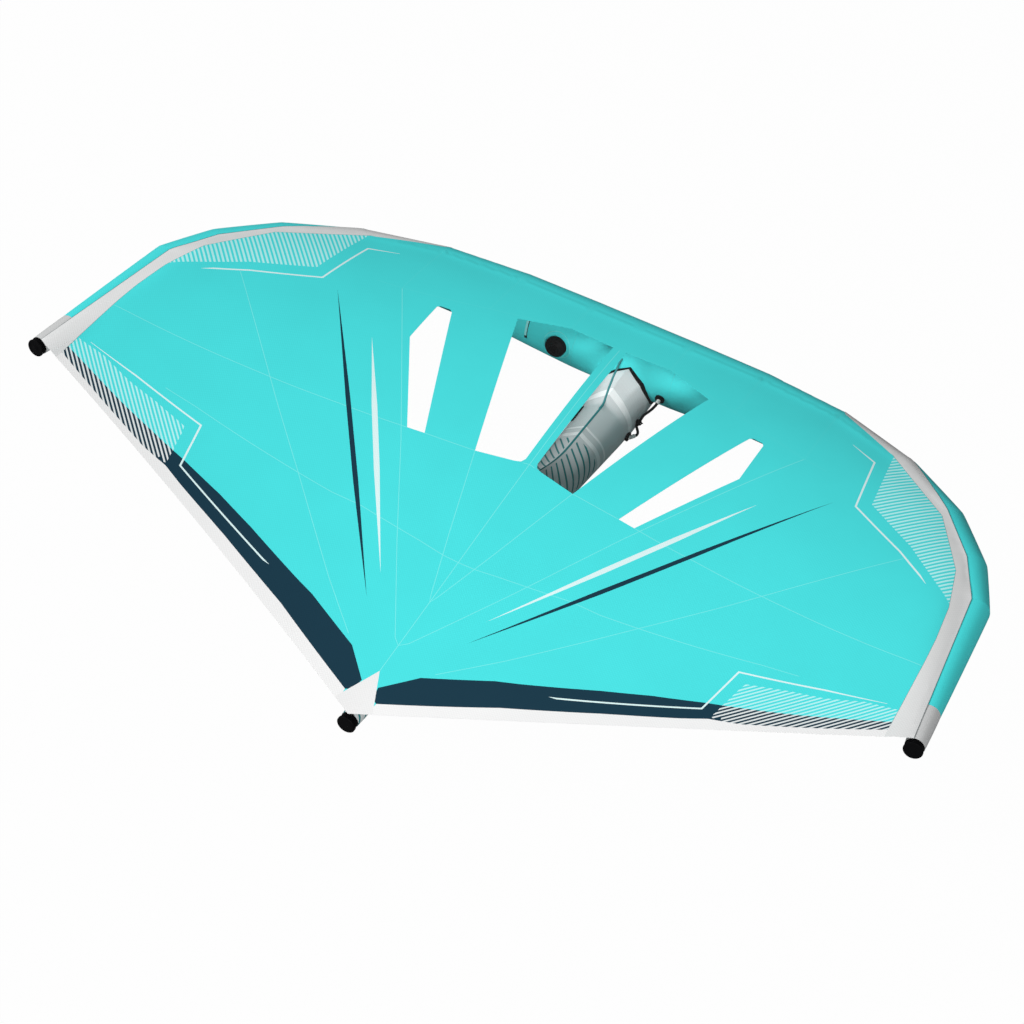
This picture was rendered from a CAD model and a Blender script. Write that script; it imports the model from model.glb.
import bpy
import bmesh
import math
from mathutils import Matrix, Vector, geometry, noise


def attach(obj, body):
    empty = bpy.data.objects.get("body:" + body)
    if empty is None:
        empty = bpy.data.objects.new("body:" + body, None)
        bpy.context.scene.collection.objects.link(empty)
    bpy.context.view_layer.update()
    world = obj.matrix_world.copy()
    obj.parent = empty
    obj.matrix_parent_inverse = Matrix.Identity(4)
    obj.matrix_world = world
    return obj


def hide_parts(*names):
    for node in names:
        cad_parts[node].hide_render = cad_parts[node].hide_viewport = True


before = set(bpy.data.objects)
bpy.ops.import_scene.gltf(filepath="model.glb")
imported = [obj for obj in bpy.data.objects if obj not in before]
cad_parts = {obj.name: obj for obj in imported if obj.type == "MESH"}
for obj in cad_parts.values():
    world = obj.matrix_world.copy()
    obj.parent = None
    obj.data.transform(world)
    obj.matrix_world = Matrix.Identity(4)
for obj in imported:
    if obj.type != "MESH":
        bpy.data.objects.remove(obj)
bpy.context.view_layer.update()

# Places below are in the drawing's own frame: y from the peak of the corner patch, z from the
# underside of the leading edge. This is where that frame sits in the world.
drawingZero = Vector((0, -0.8513, 0.20639))
sides = {-1: "left", 1: "right"}

# Leading edge stations from the centre to the tip: axis x, y, z and radius
tubeStations = (
    (0.19282, 1.763, 0.1246, 0.1246), (0.47275, 1.763, 0.13319, 0.11521),
    (0.77345, 1.7219, 0.15281, 0.10676), (1.05555, 1.59312, 0.19942, 0.09737),
    (1.271, 1.42187, 0.25093, 0.08610), (1.41515, 1.22733, 0.29631, 0.07202),
    (1.5004, 1.04101, 0.32943, 0.05352), (1.55, 0.393, 0.3699, 0.0307))
tubeY, tubeZ, centreRadius = tubeStations[0][1:]
# Where the canopy meets the tube's top
seamLine = (
    (0.0, 1.763, 0.2510), (0.1928, 1.763, 0.2510), (0.4728, 1.763, 0.2502), (0.7734, 1.7219, 0.2614),
    (1.0556, 1.5931, 0.2986), (1.2656, 1.4165, 0.3385), (1.4053, 1.2214, 0.3692),
    (1.4855, 1.0386, 0.3826), (1.5406, 0.3923, 0.4010))
tubeTop = Vector((0, 0, 1))


# Small helpers
def deselectAll():
    if bpy.context.mode != "OBJECT":
        bpy.ops.object.mode_set(mode="OBJECT")
    bpy.ops.object.select_all(action="DESELECT")


def select(piece):
    deselectAll()
    piece.select_set(True)
    bpy.context.view_layer.objects.active = piece


def ease(share):
    share = min(max(share, 0.0), 1.0)
    return share * share * (3 - 2 * share)


def readOff(table, place):
    for (xa, ya), (xb, yb) in zip(table, table[1:]):
        if place <= xb:
            return ya + (yb - ya) * (place - xa) / (xb - xa)
    return table[-1][1]


def slopes(table):
    # Gentle slopes that never overshoot, for a smooth reading of a table
    steps = [(yb - ya) / (xb - xa) for (xa, ya), (xb, yb) in zip(table, table[1:])]
    result = [0.0]
    for before, after in zip(steps, steps[1:]):
        result.append(0.0 if before * after <= 0 else 2 * before * after / (before + after))
    return result + [steps[-1]]


def smoothRead(table, tableSlopes, place):
    for index, ((xa, ya), (xb, yb)) in enumerate(zip(table, table[1:])):
        if place <= xb or index == len(table) - 2:
            width = xb - xa
            t = min(max((place - xa) / width, 0.0), 1.0)
            near, far = tableSlopes[index] * width, tableSlopes[index + 1] * width
            return (ya * (1 + 2 * t) * (1 - t) ** 2 + near * t * (1 - t) ** 2
                    + yb * t * t * (3 - 2 * t) + far * t * t * (t - 1))
    return table[-1][1]


def meshPiece(name, points, faces, finishes, slots=None, uvs=None, smooth=True):
    # A hand-built mesh, given in the drawing's frame
    mesh = bpy.data.meshes.new(name)
    mesh.from_pydata([tuple(Vector(point) + drawingZero) for point in points], [], faces)
    for finish in finishes:
        mesh.materials.append(finish)
    if slots:
        mesh.polygons.foreach_set("material_index", slots)
    if uvs:
        layer = mesh.uv_layers.new(name="cloth")
        for loop in mesh.loops:
            layer.data[loop.index].uv = uvs[loop.vertex_index]
    if smooth:
        mesh.shade_smooth()
    piece = bpy.data.objects.new(name, mesh)
    bpy.context.scene.collection.objects.link(piece)
    return piece


def thicken(piece, wall, offset=-1.0):
    shell = piece.modifiers.new("wall", "SOLIDIFY")
    shell.thickness = wall
    shell.offset = offset
    shell.use_rim = True
    shell.use_even_offset = False
    select(piece)
    bpy.ops.object.modifier_apply(modifier=shell.name)


def turnOut(name, profile, finish, centre, direction, sideCount=48):
    # A turned piece, drawn up its axis by one extrusion and scaling for each (radius, height)
    deselectAll()
    bpy.ops.mesh.primitive_circle_add(vertices=sideCount, radius=profile[0][0], fill_type="NGON",
                                      location=(0, 0, profile[0][1]))
    piece = bpy.context.object
    piece.name = name
    bpy.ops.object.mode_set(mode="EDIT")
    bpy.ops.mesh.select_mode(type="FACE")
    bpy.ops.mesh.select_all(action="SELECT")
    for (nearRadius, nearHeight), (farRadius, farHeight) in zip(profile, profile[1:]):
        bpy.ops.mesh.extrude_region_move(
            TRANSFORM_OT_translate={"value": (0, 0, farHeight - nearHeight)})
        scale = farRadius / nearRadius
        bpy.ops.transform.resize(value=(scale, scale, 1))
    bpy.ops.mesh.select_all(action="SELECT")
    bpy.ops.mesh.normals_make_consistent(inside=False)
    bpy.ops.object.mode_set(mode="OBJECT")
    piece.data.materials.append(finish)
    settle(piece, centre, Vector(direction).to_track_quat("Z", "Y"))
    finishEdges(piece)
    return piece


def settle(piece, centre, turn=None):
    # Puts a piece modelled at the origin into its place and leaves its transforms clean
    if turn is not None:
        piece.rotation_mode = "QUATERNION"
        piece.rotation_quaternion = turn
    piece.location = Vector(centre) + drawingZero
    select(piece)
    bpy.ops.object.transform_apply(location=True, rotation=True, scale=True)
    if turn is not None:
        piece.rotation_mode = "XYZ"


def finishEdges(piece, angle=40):
    select(piece)
    bpy.ops.object.shade_smooth_by_angle(angle=math.radians(angle))


def dress(piece, body, slot, *nodes):
    # Which body a piece rides on, which CAD nodes it stands for and what it is made of
    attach(piece, body)
    if nodes:
        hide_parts(*nodes)


def faceOut(piece, merge=0.0):
    # Joins doubled points where asked, and turns every face outward
    work = bmesh.new()
    work.from_mesh(piece.data)
    if merge:
        bmesh.ops.remove_doubles(work, verts=work.verts, dist=merge)
    bmesh.ops.recalc_face_normals(work, faces=work.faces)
    work.to_mesh(piece.data)
    work.free()


def dropFaces(piece, unwanted):
    work = bmesh.new()
    work.from_mesh(piece.data)
    spare = [face for face in work.faces if unwanted(face)]
    bmesh.ops.delete(work, geom=spare, context="FACES")
    work.to_mesh(piece.data)
    work.free()
    piece.data.shade_smooth()


def joinTo(piece, *others):
    select(piece)
    for other in others:
        other.select_set(True)
    bpy.ops.object.join()
    finishEdges(piece)


def roundOff(piece, width, segments=2, angle=30):
    edge = piece.modifiers.new("edges", "BEVEL")
    edge.width = width
    edge.segments = segments
    edge.limit_method = "ANGLE"
    edge.angle_limit = math.radians(angle)
    select(piece)
    bpy.ops.object.modifier_apply(modifier=edge.name)
    finishEdges(piece)


def cutWith(piece, tool, operation="DIFFERENCE"):
    boolean = piece.modifiers.new("cut", "BOOLEAN")
    boolean.operation = operation
    boolean.solver = "EXACT"
    boolean.object = tool
    select(piece)
    bpy.ops.object.modifier_apply(modifier=boolean.name)


def dropTool(tool):
    mesh = tool.data
    bpy.data.objects.remove(tool)
    bpy.data.meshes.remove(mesh)


def curvePiece(name, points, radius, finish):
    curve = bpy.data.curves.new(name, "CURVE")
    curve.dimensions = "3D"
    curve.bevel_depth = radius
    curve.bevel_resolution = 5
    curve.use_fill_caps = True
    line = curve.splines.new("POLY")
    line.points.add(len(points) - 1)
    for index, point in enumerate(points):
        line.points[index].co = (*(Vector(point) + drawingZero), 1.0)
    curve.materials.append(finish)
    piece = bpy.data.objects.new(name, curve)
    bpy.context.scene.collection.objects.link(piece)
    return piece


def smoothThrough(points, steps):
    path = [points[0]] + list(points) + [points[-1]]
    result = []
    for before, start, end, after in zip(path, path[1:], path[2:], path[3:]):
        for step in range(steps):
            t = step / steps
            result.append(0.5 * (2 * start + (end - before) * t
                                 + (2 * before - 5 * start + 4 * end - after) * t * t
                                 + (3 * start - before - 3 * end + after) * t * t * t))
    return result + [points[-1]]


# Materials
def addNode(tree, kind, settings=None, inputs=None):
    node = tree.nodes.new(kind)
    for name, value in (settings or {}).items():
        setattr(node, name, value)
    for name, value in (inputs or {}).items():
        feed(tree, node.inputs[name], value)
    return node


def feed(tree, socket, value):
    if isinstance(value, Field):
        tree.links.new(value.socket, socket)
    else:
        socket.default_value = value


class Field:
    # A value inside a material, so that its maths reads as plain maths
    def __init__(self, tree, socket):
        self.tree = tree
        self.socket = socket

    def maths(self, operation, *others):
        node = addNode(self.tree, "ShaderNodeMath", {"operation": operation})
        for index, value in enumerate((self,) + others):
            feed(self.tree, node.inputs[index], value)
        return Field(self.tree, node.outputs[0])

    def __add__(self, other):
        return self.maths("ADD", other)

    def __sub__(self, other):
        return self.maths("SUBTRACT", other)

    def __mul__(self, other):
        return self.maths("MULTIPLY", other)

    def __truediv__(self, other):
        return self.maths("DIVIDE", other)

    def __rsub__(self, other):
        return self * -1 + other

    __radd__ = __add__
    __rmul__ = __mul__

    def above(self, edge, soft):
        # Nought below the edge and one above it, over a soft width
        node = addNode(self.tree, "ShaderNodeMapRange", {"interpolation_type": "SMOOTHSTEP"},
                       {"Value": self, "From Min": edge - soft / 2, "From Max": edge + soft / 2})
        return Field(self.tree, node.outputs["Result"])

    def between(self, start, end, soft):
        return self.above(start, soft) * (1 - self.above(end, soft))

    def stripes(self, period, share, soft):
        # One inside each stripe and nought between; share is the stripe's part of the period
        phase = (self / period).maths("FRACT") - 0.5
        return 1 - phase.maths("ABSOLUTE").above(share / 2, soft / period)


def mixColour(tree, share, first, second):
    node = addNode(tree, "ShaderNodeMix", {"data_type": "RGBA"}, {"Factor": share})
    feed(tree, node.inputs[6], first)
    feed(tree, node.inputs[7], second)
    return Field(tree, node.outputs[2])


def newMaterial(name, colour, roughness, settings=None):
    surface = bpy.data.materials.new(name)
    surface.use_nodes = True
    tree = surface.node_tree
    shader = tree.nodes["Principled BSDF"]
    shader.inputs["Base Color"].default_value = (*colour, 1)
    shader.inputs["Roughness"].default_value = roughness
    for name, value in (settings or {}).items():
        shader.inputs[name].default_value = value
    return surface, tree, shader


def coordinates(tree, layer=None):
    if layer:
        node = addNode(tree, "ShaderNodeUVMap", {"uv_map": layer})
        source = node.outputs["UV"]
    else:
        source = addNode(tree, "ShaderNodeTexCoord").outputs["Object"]
    split = addNode(tree, "ShaderNodeSeparateXYZ")
    tree.links.new(source, split.inputs[0])
    return source, [Field(tree, split.outputs[index]) for index in range(3)]


def addBump(tree, shader, height, distance, strength=1.0):
    bump = addNode(tree, "ShaderNodeBump", None,
                   {"Height": height, "Distance": distance, "Strength": strength})
    tree.links.new(bump.outputs["Normal"], shader.inputs["Normal"])


clothLook = {
    "roughness": 0.52,
    "grid": 0.0072,          # spacing of the ripstop threads
    "thread": 0.22,          # part of the spacing that a thread takes
    "gridSoft": 0.0016,
    "gridShade": 0.06,
    "weaveDepth": 0.00012,
    "cloudScale": 5.0,
    "cloudShade": 0.035,
}


def clothMaterial(name, colour, layer=None, stripe=None, roughness=None, sheen=0.0):
    # Ripstop cloth; stripe = (colour, direction across the stripes, period, share, soft)
    look = clothLook
    surface, tree, shader = newMaterial(name, colour, roughness or look["roughness"],
                                        {"Specular IOR Level": 0.14, "Sheen Weight": sheen})
    source, fields = coordinates(tree, layer)
    x, y = fields[:2]
    diagonal, other = (x + y) * 0.7071, (x - y) * 0.7071
    threads = diagonal.stripes(look["grid"], look["thread"], look["gridSoft"]).maths(
        "MAXIMUM", other.stripes(look["grid"], look["thread"], look["gridSoft"]))
    cloud = addNode(tree, "ShaderNodeTexNoise", {"noise_dimensions": "3D"},
                    {"Scale": look["cloudScale"], "Detail": 2.0})
    tree.links.new(source, cloud.inputs["Vector"])
    cloudField = Field(tree, cloud.outputs["Fac"]) - 0.5
    shade = 1 - threads * look["gridShade"] + cloudField * look["cloudShade"] * 2
    tint = (*colour, 1)
    if stripe:
        stripeColour, (across, along), period, share, soft = stripe
        place = x.maths("ABSOLUTE") * across + y * along
        tint = mixColour(tree, place.stripes(period, share, soft), tint, (*stripeColour, 1))
    scale = addNode(tree, "ShaderNodeVectorMath", {"operation": "SCALE"})
    feed(tree, scale.inputs[0], tint[:3] if isinstance(tint, tuple) else tint)
    feed(tree, scale.inputs["Scale"], shade)
    tree.links.new(scale.outputs[0], shader.inputs["Base Color"])
    addBump(tree, shader, threads, look["weaveDepth"])
    return surface


def plainMaterial(name, look):
    # Moulded or smooth stuff with a fine grain
    surface, tree, shader = newMaterial(name, look["colour"], look["roughness"], look.get("more"))
    source = coordinates(tree)[0]
    grain = addNode(tree, "ShaderNodeTexNoise", None,
                    {"Scale": look["grain"], "Detail": 3.0, "Roughness": 0.6})
    tree.links.new(source, grain.inputs["Vector"])
    field = Field(tree, grain.outputs["Fac"])
    rough = field * look["roughnessSwing"] + (look["roughness"] - look["roughnessSwing"] / 2)
    tree.links.new(rough.socket, shader.inputs["Roughness"])
    addBump(tree, shader, field, look["depth"])
    return surface


cyanColour = (0.070, 0.775, 0.785)
navyColour = (0.0085, 0.040, 0.066)
paleCyan = (0.50, 0.95, 0.95)
cyanCloth = clothMaterial("cyanCloth", cyanColour)
navyCloth = clothMaterial("navyCloth", navyColour)
greyCloth = clothMaterial("greyCloth", (0.78, 0.79, 0.79))
whiteCloth = clothMaterial("whiteCloth", (0.90, 0.90, 0.90))
patchCloth = clothMaterial("patchCloth", (0.86, 0.86, 0.86))
seamCloth = clothMaterial("seamCloth", (0.19, 0.84, 0.83))
faintSeam = clothMaterial("faintSeam", (0.09, 0.785, 0.79))
stitchCloth = clothMaterial("stitchCloth", (0.16, 0.20, 0.21))
whitePrint = clothMaterial("whitePrint", (0.74, 0.94, 0.94))
leadingHatch = clothMaterial("leadingHatch", cyanColour,
                             stripe=(paleCyan, (-0.722, 0.692), 0.0155, 0.50, 0.0022))
trailingHatch = clothMaterial("trailingHatch", cyanColour,
                              stripe=(paleCyan, (-0.676, 0.737), 0.0130, 0.45, 0.0022))
navyHatch = clothMaterial("navyHatch", navyColour,
                          stripe=((0.80, 0.84, 0.84), (-0.676, 0.737), 0.0130, 0.45, 0.0022))
tubeCloth = clothMaterial("tubeCloth", cyanColour, layer="cloth")
tipCloth = clothMaterial("tipCloth", (0.62, 0.63, 0.63), layer="cloth")

blackPlastic = plainMaterial("blackPlastic", {
    "colour": (0.0025, 0.0025, 0.0030), "roughness": 0.50, "roughnessSwing": 0.12, "grain": 900.0,
    "depth": 0.00005, "more": {"Specular IOR Level": 0.04}})
whitePlastic = plainMaterial("whitePlastic", {
    "colour": (0.78, 0.78, 0.76), "roughness": 0.38, "roughnessSwing": 0.10, "grain": 700.0,
    "depth": 0.00003})
hoseRubber = plainMaterial("hoseRubber", {
    "colour": (0.003, 0.003, 0.0035), "roughness": 0.5, "roughnessSwing": 0.14, "grain": 600.0,
    "depth": 0.00006, "more": {"Specular IOR Level": 0.12}})
blackWebbing = plainMaterial("blackWebbing", {
    "colour": (0.005, 0.005, 0.0055), "roughness": 0.85, "roughnessSwing": 0.10, "grain": 1500.0,
    "depth": 0.00025, "more": {"Specular IOR Level": 0.10}})
bladderFilm = plainMaterial("bladderFilm", {
    "colour": (0.72, 0.72, 0.68), "roughness": 0.35, "roughnessSwing": 0.10, "grain": 40.0,
    "depth": 0.0002})
tealPiping = plainMaterial("tealPiping", {
    "colour": (0.030, 0.235, 0.245), "roughness": 0.6, "roughnessSwing": 0.10, "grain": 1200.0,
    "depth": 0.0001})
paleStrap = plainMaterial("paleStrap", {
    "colour": (0.30, 0.86, 0.84), "roughness": 0.75, "roughnessSwing": 0.10, "grain": 1200.0,
    "depth": 0.00015})
windowFilm = newMaterial("windowFilm", (0.92, 0.97, 0.97), 0.12,
                         {"Alpha": 0.006, "Specular IOR Level": 0.3})[0]
print("materials are ready")


# Leading edge tube
def tubeStation(index, side=1):
    x, y, z, radius = tubeStations[index]
    return Vector((side * x, y, z))


def tubePath(side):
    path = [tubeStation(0, -side)] + [tubeStation(index, side) for index in range(len(tubeStations))]
    runs = [(far - near).normalized() for near, far in zip(path, path[1:])]
    planes = [(near + far).normalized() for near, far in zip(runs, runs[1:])]
    first = planes[0].reflect(Vector((1, 0, 0))) * -1
    return path, [first] + planes + [runs[-1]]


def tubeRadius(index):
    return tubeStations[index][3]


tubeLook = {"sides": 72, "rings": 18, "belly": 0.0005, "pucker": 0.0005, "puckerReach": 0.014,
            "wall": 0.0006, "gap": 0.0002, "tip": 0.150}


def tubeSkin(name, start, end, radii, planes, finish, seed, puckered=(True, True)):
    # One sewn panel of an air tube between its mitre planes, with the seams' small puckers
    look = tubeLook
    along = (end - start).normalized()
    top = (tubeTop - along * along.z).normalized()
    across = along.cross(top)
    length = (end - start).length
    points, uvs, faces = [], [], []
    count = look["sides"]
    for ring in range(look["rings"] + 1):
        share = ring / look["rings"]
        share = (share + ease(share)) / 2
        for index in range(count + 1):
            angle = math.tau * index / count
            base = radii[0] + (radii[1] - radii[0]) * share
            wave = noise.noise(Vector((math.cos(angle) * 9, math.sin(angle) * 9,
                                       seed * 7.7 + share * 2)))
            near = math.exp(-share * length / look["puckerReach"]) if puckered[0] else 0
            far = math.exp(-(1 - share) * length / look["puckerReach"]) if puckered[1] else 0
            radius = base + look["belly"] * 4 * share * (1 - share)
            radius += look["pucker"] * (wave - 0.8) * (near + far)
            arm = across * (math.sin(angle) * radius) + top * (math.cos(angle) * radius)
            slideNear = (look["gap"] - arm.dot(planes[0])) / along.dot(planes[0])
            slideFar = (-look["gap"] - arm.dot(planes[1])) / along.dot(planes[1])
            place = slideNear + (length + slideFar - slideNear) * share
            points.append(start + arm + along * place)
            uvs.append((angle * base, place))
    row = count + 1
    for ring in range(look["rings"]):
        for index in range(count):
            corner = ring * row + index
            faces.append((corner, corner + 1, corner + row + 1, corner + row))
    if across.cross(top).dot(along) > 0:
        faces = [tuple(reversed(face)) for face in faces]
    piece = meshPiece(name, points, faces, [finish], uvs=uvs)
    bpy.context.view_layer.objects.active = piece
    mesh = bmesh.new()
    mesh.from_mesh(piece.data)
    bmesh.ops.remove_doubles(mesh, verts=mesh.verts, dist=0.00001)
    bmesh.ops.recalc_face_normals(mesh, faces=mesh.faces)
    middle = (start + end) / 2 + drawingZero
    face = max(mesh.faces, key=lambda item: item.calc_center_median().z)
    if face.normal.dot(face.calc_center_median() - middle) < 0:
        bmesh.ops.reverse_faces(mesh, faces=mesh.faces)
    mesh.to_mesh(piece.data)
    mesh.free()
    piece.data.shade_smooth()
    thicken(piece, look["wall"])
    finishEdges(piece, 45)
    return piece


def makeTube():
    path, planes = tubePath(1)
    centre = tubeSkin("tubeCentre", path[0], path[1], (tubeRadius(0),) * 2, planes[:2], tubeCloth, 1)
    finishTube(centre, "leading_edge_centre")
    for side, word in sides.items():
        path, planes = tubePath(side)
        for index in range(1, 7):
            radii = (tubeRadius(index - 1), tubeRadius(index))
            skin = tubeSkin(f"tubePanel{index}{word.title()}", path[index], path[index + 1], radii,
                            (planes[index], planes[index + 1]), tubeCloth, index + side * 11)
            finishTube(skin, f"leading_edge_panel_{index}_{word}")
        run = path[-1] - path[-2]
        share = 1 - tubeLook["tip"] / run.length
        border = path[-2] + run * share
        radius = tubeRadius(-2) + (tubeRadius(-1) - tubeRadius(-2)) * share
        tail = tubeSkin(f"tubeTail{word.title()}", path[-2], border, (tubeRadius(-2), radius),
                        (planes[-2], planes[-1]), tubeCloth, 41 + side)
        finishTube(tail, f"leading_edge_tail_{word}")
        tip = tubeSkin(f"tubeTip{word.title()}", border, path[-1], (radius, tubeRadius(-1)),
                       (planes[-1], planes[-1]), tipCloth, 47 + side, (True, False))
        finishTube(tip, f"leading_edge_tip_{word}")


def finishTube(skin, node):
    dress(skin, "wing", "grey_cloth" if "tip" in node else "cyan_cloth", node)


makeTube()
print("leading edge is sewn")

# Canopy
canopy = {
    "cornerReach": 0.185, "cornerHeight": 0.085, "trailingWidth": 1.512, "trailingTip": 0.377,
    "trailingHollow": 0.0485, "trailingSag": 0.051, "camber": 0.055, "camberTip": 0.45,
    "halfSpan": 1.550, "grid": 0.021, "tubeGrid": 0.0095, "wall": 0.0008, "filmWall": 0.0004,
    "seat": 0.0026, "seatReach": 0.05, "seatEnd": 1.2, "seamFade": 0.12,
    "softMiddle": 0.004, "softTip": 0.0003, "nearTube": 0.012,
    "tailStart": (1.4858, 1.0387), "tailEnd": (1.5411, 0.3923), "tailTop": 1.16, "tailFade": 0.10,
    "tailInner": 1.36, "tailRise": 0.080, "tailGridInner": 1.40, "tailGridReach": 0.075,
    "seamWidth": 0.0024, "stitchWidth": 0.0020, "lineSpacing": 0.02, "edgeSpacing": 0.016,
    "lineCell": 0.008, "closing": 0.03,
    "faintSeams": ("fairing", "mitreOne", "mitreTwo", "mitreThree"),
}
seamPlan = [(x, y) for x, y, z in seamLine]
seamHeights = [(x, z) for x, y, z in seamLine]
planSlopes, heightSlopes = slopes(seamPlan), slopes(seamHeights)


def trailingY(x):
    share = abs(x) / canopy["trailingWidth"]
    reach = -canopy["cornerReach"] + (canopy["trailingTip"] + canopy["cornerReach"]) * share
    return reach + 4 * canopy["trailingHollow"] * share * (1 - share)


def trailingZ(x):
    share = abs(x) / canopy["trailingWidth"]
    height = canopy["cornerHeight"] + (seamLine[-1][2] - canopy["cornerHeight"]) * share
    return height - 4 * canopy["trailingSag"] * share * (1 - share)


def sheetHeight(x, y):
    x = abs(x)
    front = readOff(seamPlan, x)
    nearTube = math.exp(-max(front - y, 0) / canopy["seamFade"])
    top = readOff(seamHeights, x)
    smoothTop = smoothRead(seamHeights, heightSlopes, x)
    top = smoothTop + (top - smoothTop) * nearTube
    smoothFront = smoothRead(seamPlan, planSlopes, x)
    front = smoothFront + (front - smoothFront) * nearTube
    share = (front - y) / (front - trailingY(x))
    flat = ease((x / canopy["halfSpan"] - 0.5) / 0.5)
    height = canopy["camber"] * (1 - (1 - canopy["camberTip"]) * flat)
    bulge = height * 6.75 * share * (1 - share) ** 2
    return top + (trailingZ(x) - top) * share + bulge


pathRight, planesRight = tubePath(1)


def crestHeight(x, y):
    # The tube's own top at this place, or None beside the tube
    best = None
    for index in range(len(pathRight) - 1):
        start, end = pathRight[index], pathRight[index + 1]
        radii = (tubeRadius(max(index - 1, 0)), tubeRadius(index))
        top = (start.z + end.z) / 2 + (radii[0] + radii[1]) / 2
        spot = Vector((x, y, top))
        if (spot - start).dot(planesRight[index]) < -0.002:
            continue
        if (spot - end).dot(planesRight[index + 1]) > 0.002:
            continue
        run = Vector((end.x - start.x, end.y - start.y))
        offset = Vector((x - start.x, y - start.y))
        share = offset.dot(run) / run.length_squared
        aside = abs(offset.x * run.y - offset.y * run.x) / run.length
        radius = radii[0] + (radii[1] - radii[0]) * share
        if aside >= radius:
            continue
        tilt = (end.z - start.z) / (end - start).length
        height = start.z + (end.z - start.z) * share
        height += math.sqrt(radius * radius - aside * aside) / math.sqrt(1 - tilt * tilt)
        best = height if best is None else max(best, height)
    return best


wrapDegrees = (60, 60, 55, 45, 35, 0, -9, -16, -17)


def canopyOutline():
    # From the middle of the front edge out along the tube, then back along the trailing edge
    front = []
    count = len(tubeStations)
    points = [Vector((0.0, tubeY, tubeZ))] + [tubeStation(index) for index in range(count)]
    radii = [tubeRadius(0)] + [tubeRadius(index) for index in range(count)]
    for index, (point, radius, degrees) in enumerate(zip(points, radii, wrapDegrees)):
        if index < 2:
            outward = Vector((0, 1))
        else:
            way = points[min(index + 1, len(points) - 1)] - points[index - 1]
            outward = Vector((-way.y, way.x)).normalized()
        front.append(point.to_2d() + outward * (radius * math.sin(math.radians(degrees))))
    width = canopy["trailingWidth"]
    rear = [Vector((width, trailingY(width)))]
    for step in range(1, 61):
        x = width * (1 - step / 60)
        rear.append(Vector((x, trailingY(x))))
    return front, rear


frontEdge = [tuple(point) for point in canopyOutline()[0]]


def canopyHeight(x, y):
    x = abs(x)
    sheet = sheetHeight(x, y)
    crest = crestHeight(x, y)
    height = sheet
    if crest is not None:
        near = 1.0
        if x < canopy["seatEnd"]:
            near = min((readOff(frontEdge, x) - y) / canopy["seatReach"], 1.0)
        crest += canopy["seat"] * (0.5 + 0.5 * near)
        wide, fine = canopy["softMiddle"], canopy["softTip"]
        soft = wide + (fine - wide) * ease((x - 1.0) / 0.25)
        gap = (sheet - crest) / soft
        if y > readOff(seamPlan, x) or gap < -20:
            height = crest
        elif gap < 20:
            height = crest + soft * math.log1p(math.exp(gap))
    # Along the tail the cloth runs from its edge on the tube to the sheet's own height
    tail = ease((canopy["tailTop"] - y) / canopy["tailFade"])
    if x > canopy["tailInner"] and tail > 0:
        aside, level = tailDistance(x, y)
        lifted = level + (sheet - level) * min(aside / canopy["tailRise"], 1.0)
        lifted = lifted if crest is None else max(lifted, crest)
        height += (lifted - height) * tail
    return height


def tailDistance(x, y):
    # How far a place is from the cloth's edge on the tail, and how high that edge is
    start, end = Vector(canopy["tailStart"]), Vector(canopy["tailEnd"])
    run = (end - start).normalized()
    offset = Vector((x, y)) - start
    foot = start + run * offset.dot(run)
    level = crestHeight(foot.x, foot.y)
    return (foot - Vector((x, y))).length, (level or crestHeight(end.x, end.y)) + canopy["seat"]


def nearTube(x, y):
    # Whether the sheet lies on the tube's round here
    crest = crestHeight(x, y)
    if y < canopy["tailTop"] and x > canopy["tailGridInner"]:
        if tailDistance(x, y)[0] < canopy["tailGridReach"]:
            return True
    return crest is not None and crest > sheetHeight(x, y) - canopy["nearTube"]


# The canopy's lines on the flat, for its right half: distance from the middle, then y
greyInner = [(1.461, 0.41), (1.461, 0.489), (1.458, 0.70), (1.454, 0.80), (1.44, 0.95),
             (1.40, 1.127), (1.268, 1.378), (1.013, 1.612), (0.79, 1.758), (0.745, 1.86)]
navyInner = [(0.029, -0.057), (0.122, 0.038), (0.327, 0.134), (0.399, 0.158), (0.626, 0.24),
             (0.772, 0.285), (0.928, 0.321), (1.03, 0.339), (1.205, 0.372), (1.461, 0.43)]
navyOuter = [(0.055, -0.112), (0.287, 0.0), (0.39, 0.05), (0.491, 0.09), (0.668, 0.159),
             (0.736, 0.183), (0.891, 0.236), (0.967, 0.265), (1.06, 0.278), (1.26, 0.335),
             (1.461, 0.395)]
leadingHatchArea = [(1.02, 1.605), (1.053, 1.31), (1.238, 1.168), (1.437, 0.965), (1.44, 0.95),
                    (1.40, 1.127), (1.268, 1.378)]
trailingHatchArea = [(1.461, 0.482), (1.361, 0.485), (1.245, 0.461), (1.139, 0.454), (1.031, 0.438),
                     (1.01, 0.434), (1.001, 0.408), (0.995, 0.381), (0.989, 0.354), (0.982, 0.328),
                     (0.978, 0.303), (0.971, 0.277)] + navyOuter[8:]
innerWindow = [(0.37, 1.54), (0.1825, 0.902), (0.050, 0.932), (0.030, 0.940), (0.022, 0.958),
               (0.026, 1.603), (0.193, 1.606)]
outerWindow = [(0.584, 1.435), (0.618, 1.429), (0.627, 1.417), (0.625, 1.227), (0.4225, 0.869),
               (0.3615, 0.879), (0.572, 1.426)]
darkSpear = [(0.942, 1.266), (0.6589, 0.8631), (0.4536, 0.5798), (0.18, 0.218), (0.4398, 0.5898),
             (0.6459, 0.8725)]
whiteSpear = [(0.728, 1.145), (0.5692, 0.8834), (0.424, 0.6601), (0.19, 0.318), (0.408, 0.6705),
              (0.5532, 0.8938)]
leadingZigzag = [(0.88, 1.59), (0.978, 1.533), (1.01, 1.277), (1.215, 1.132), (1.309, 1.051),
                 (1.34, 1.02)]
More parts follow.
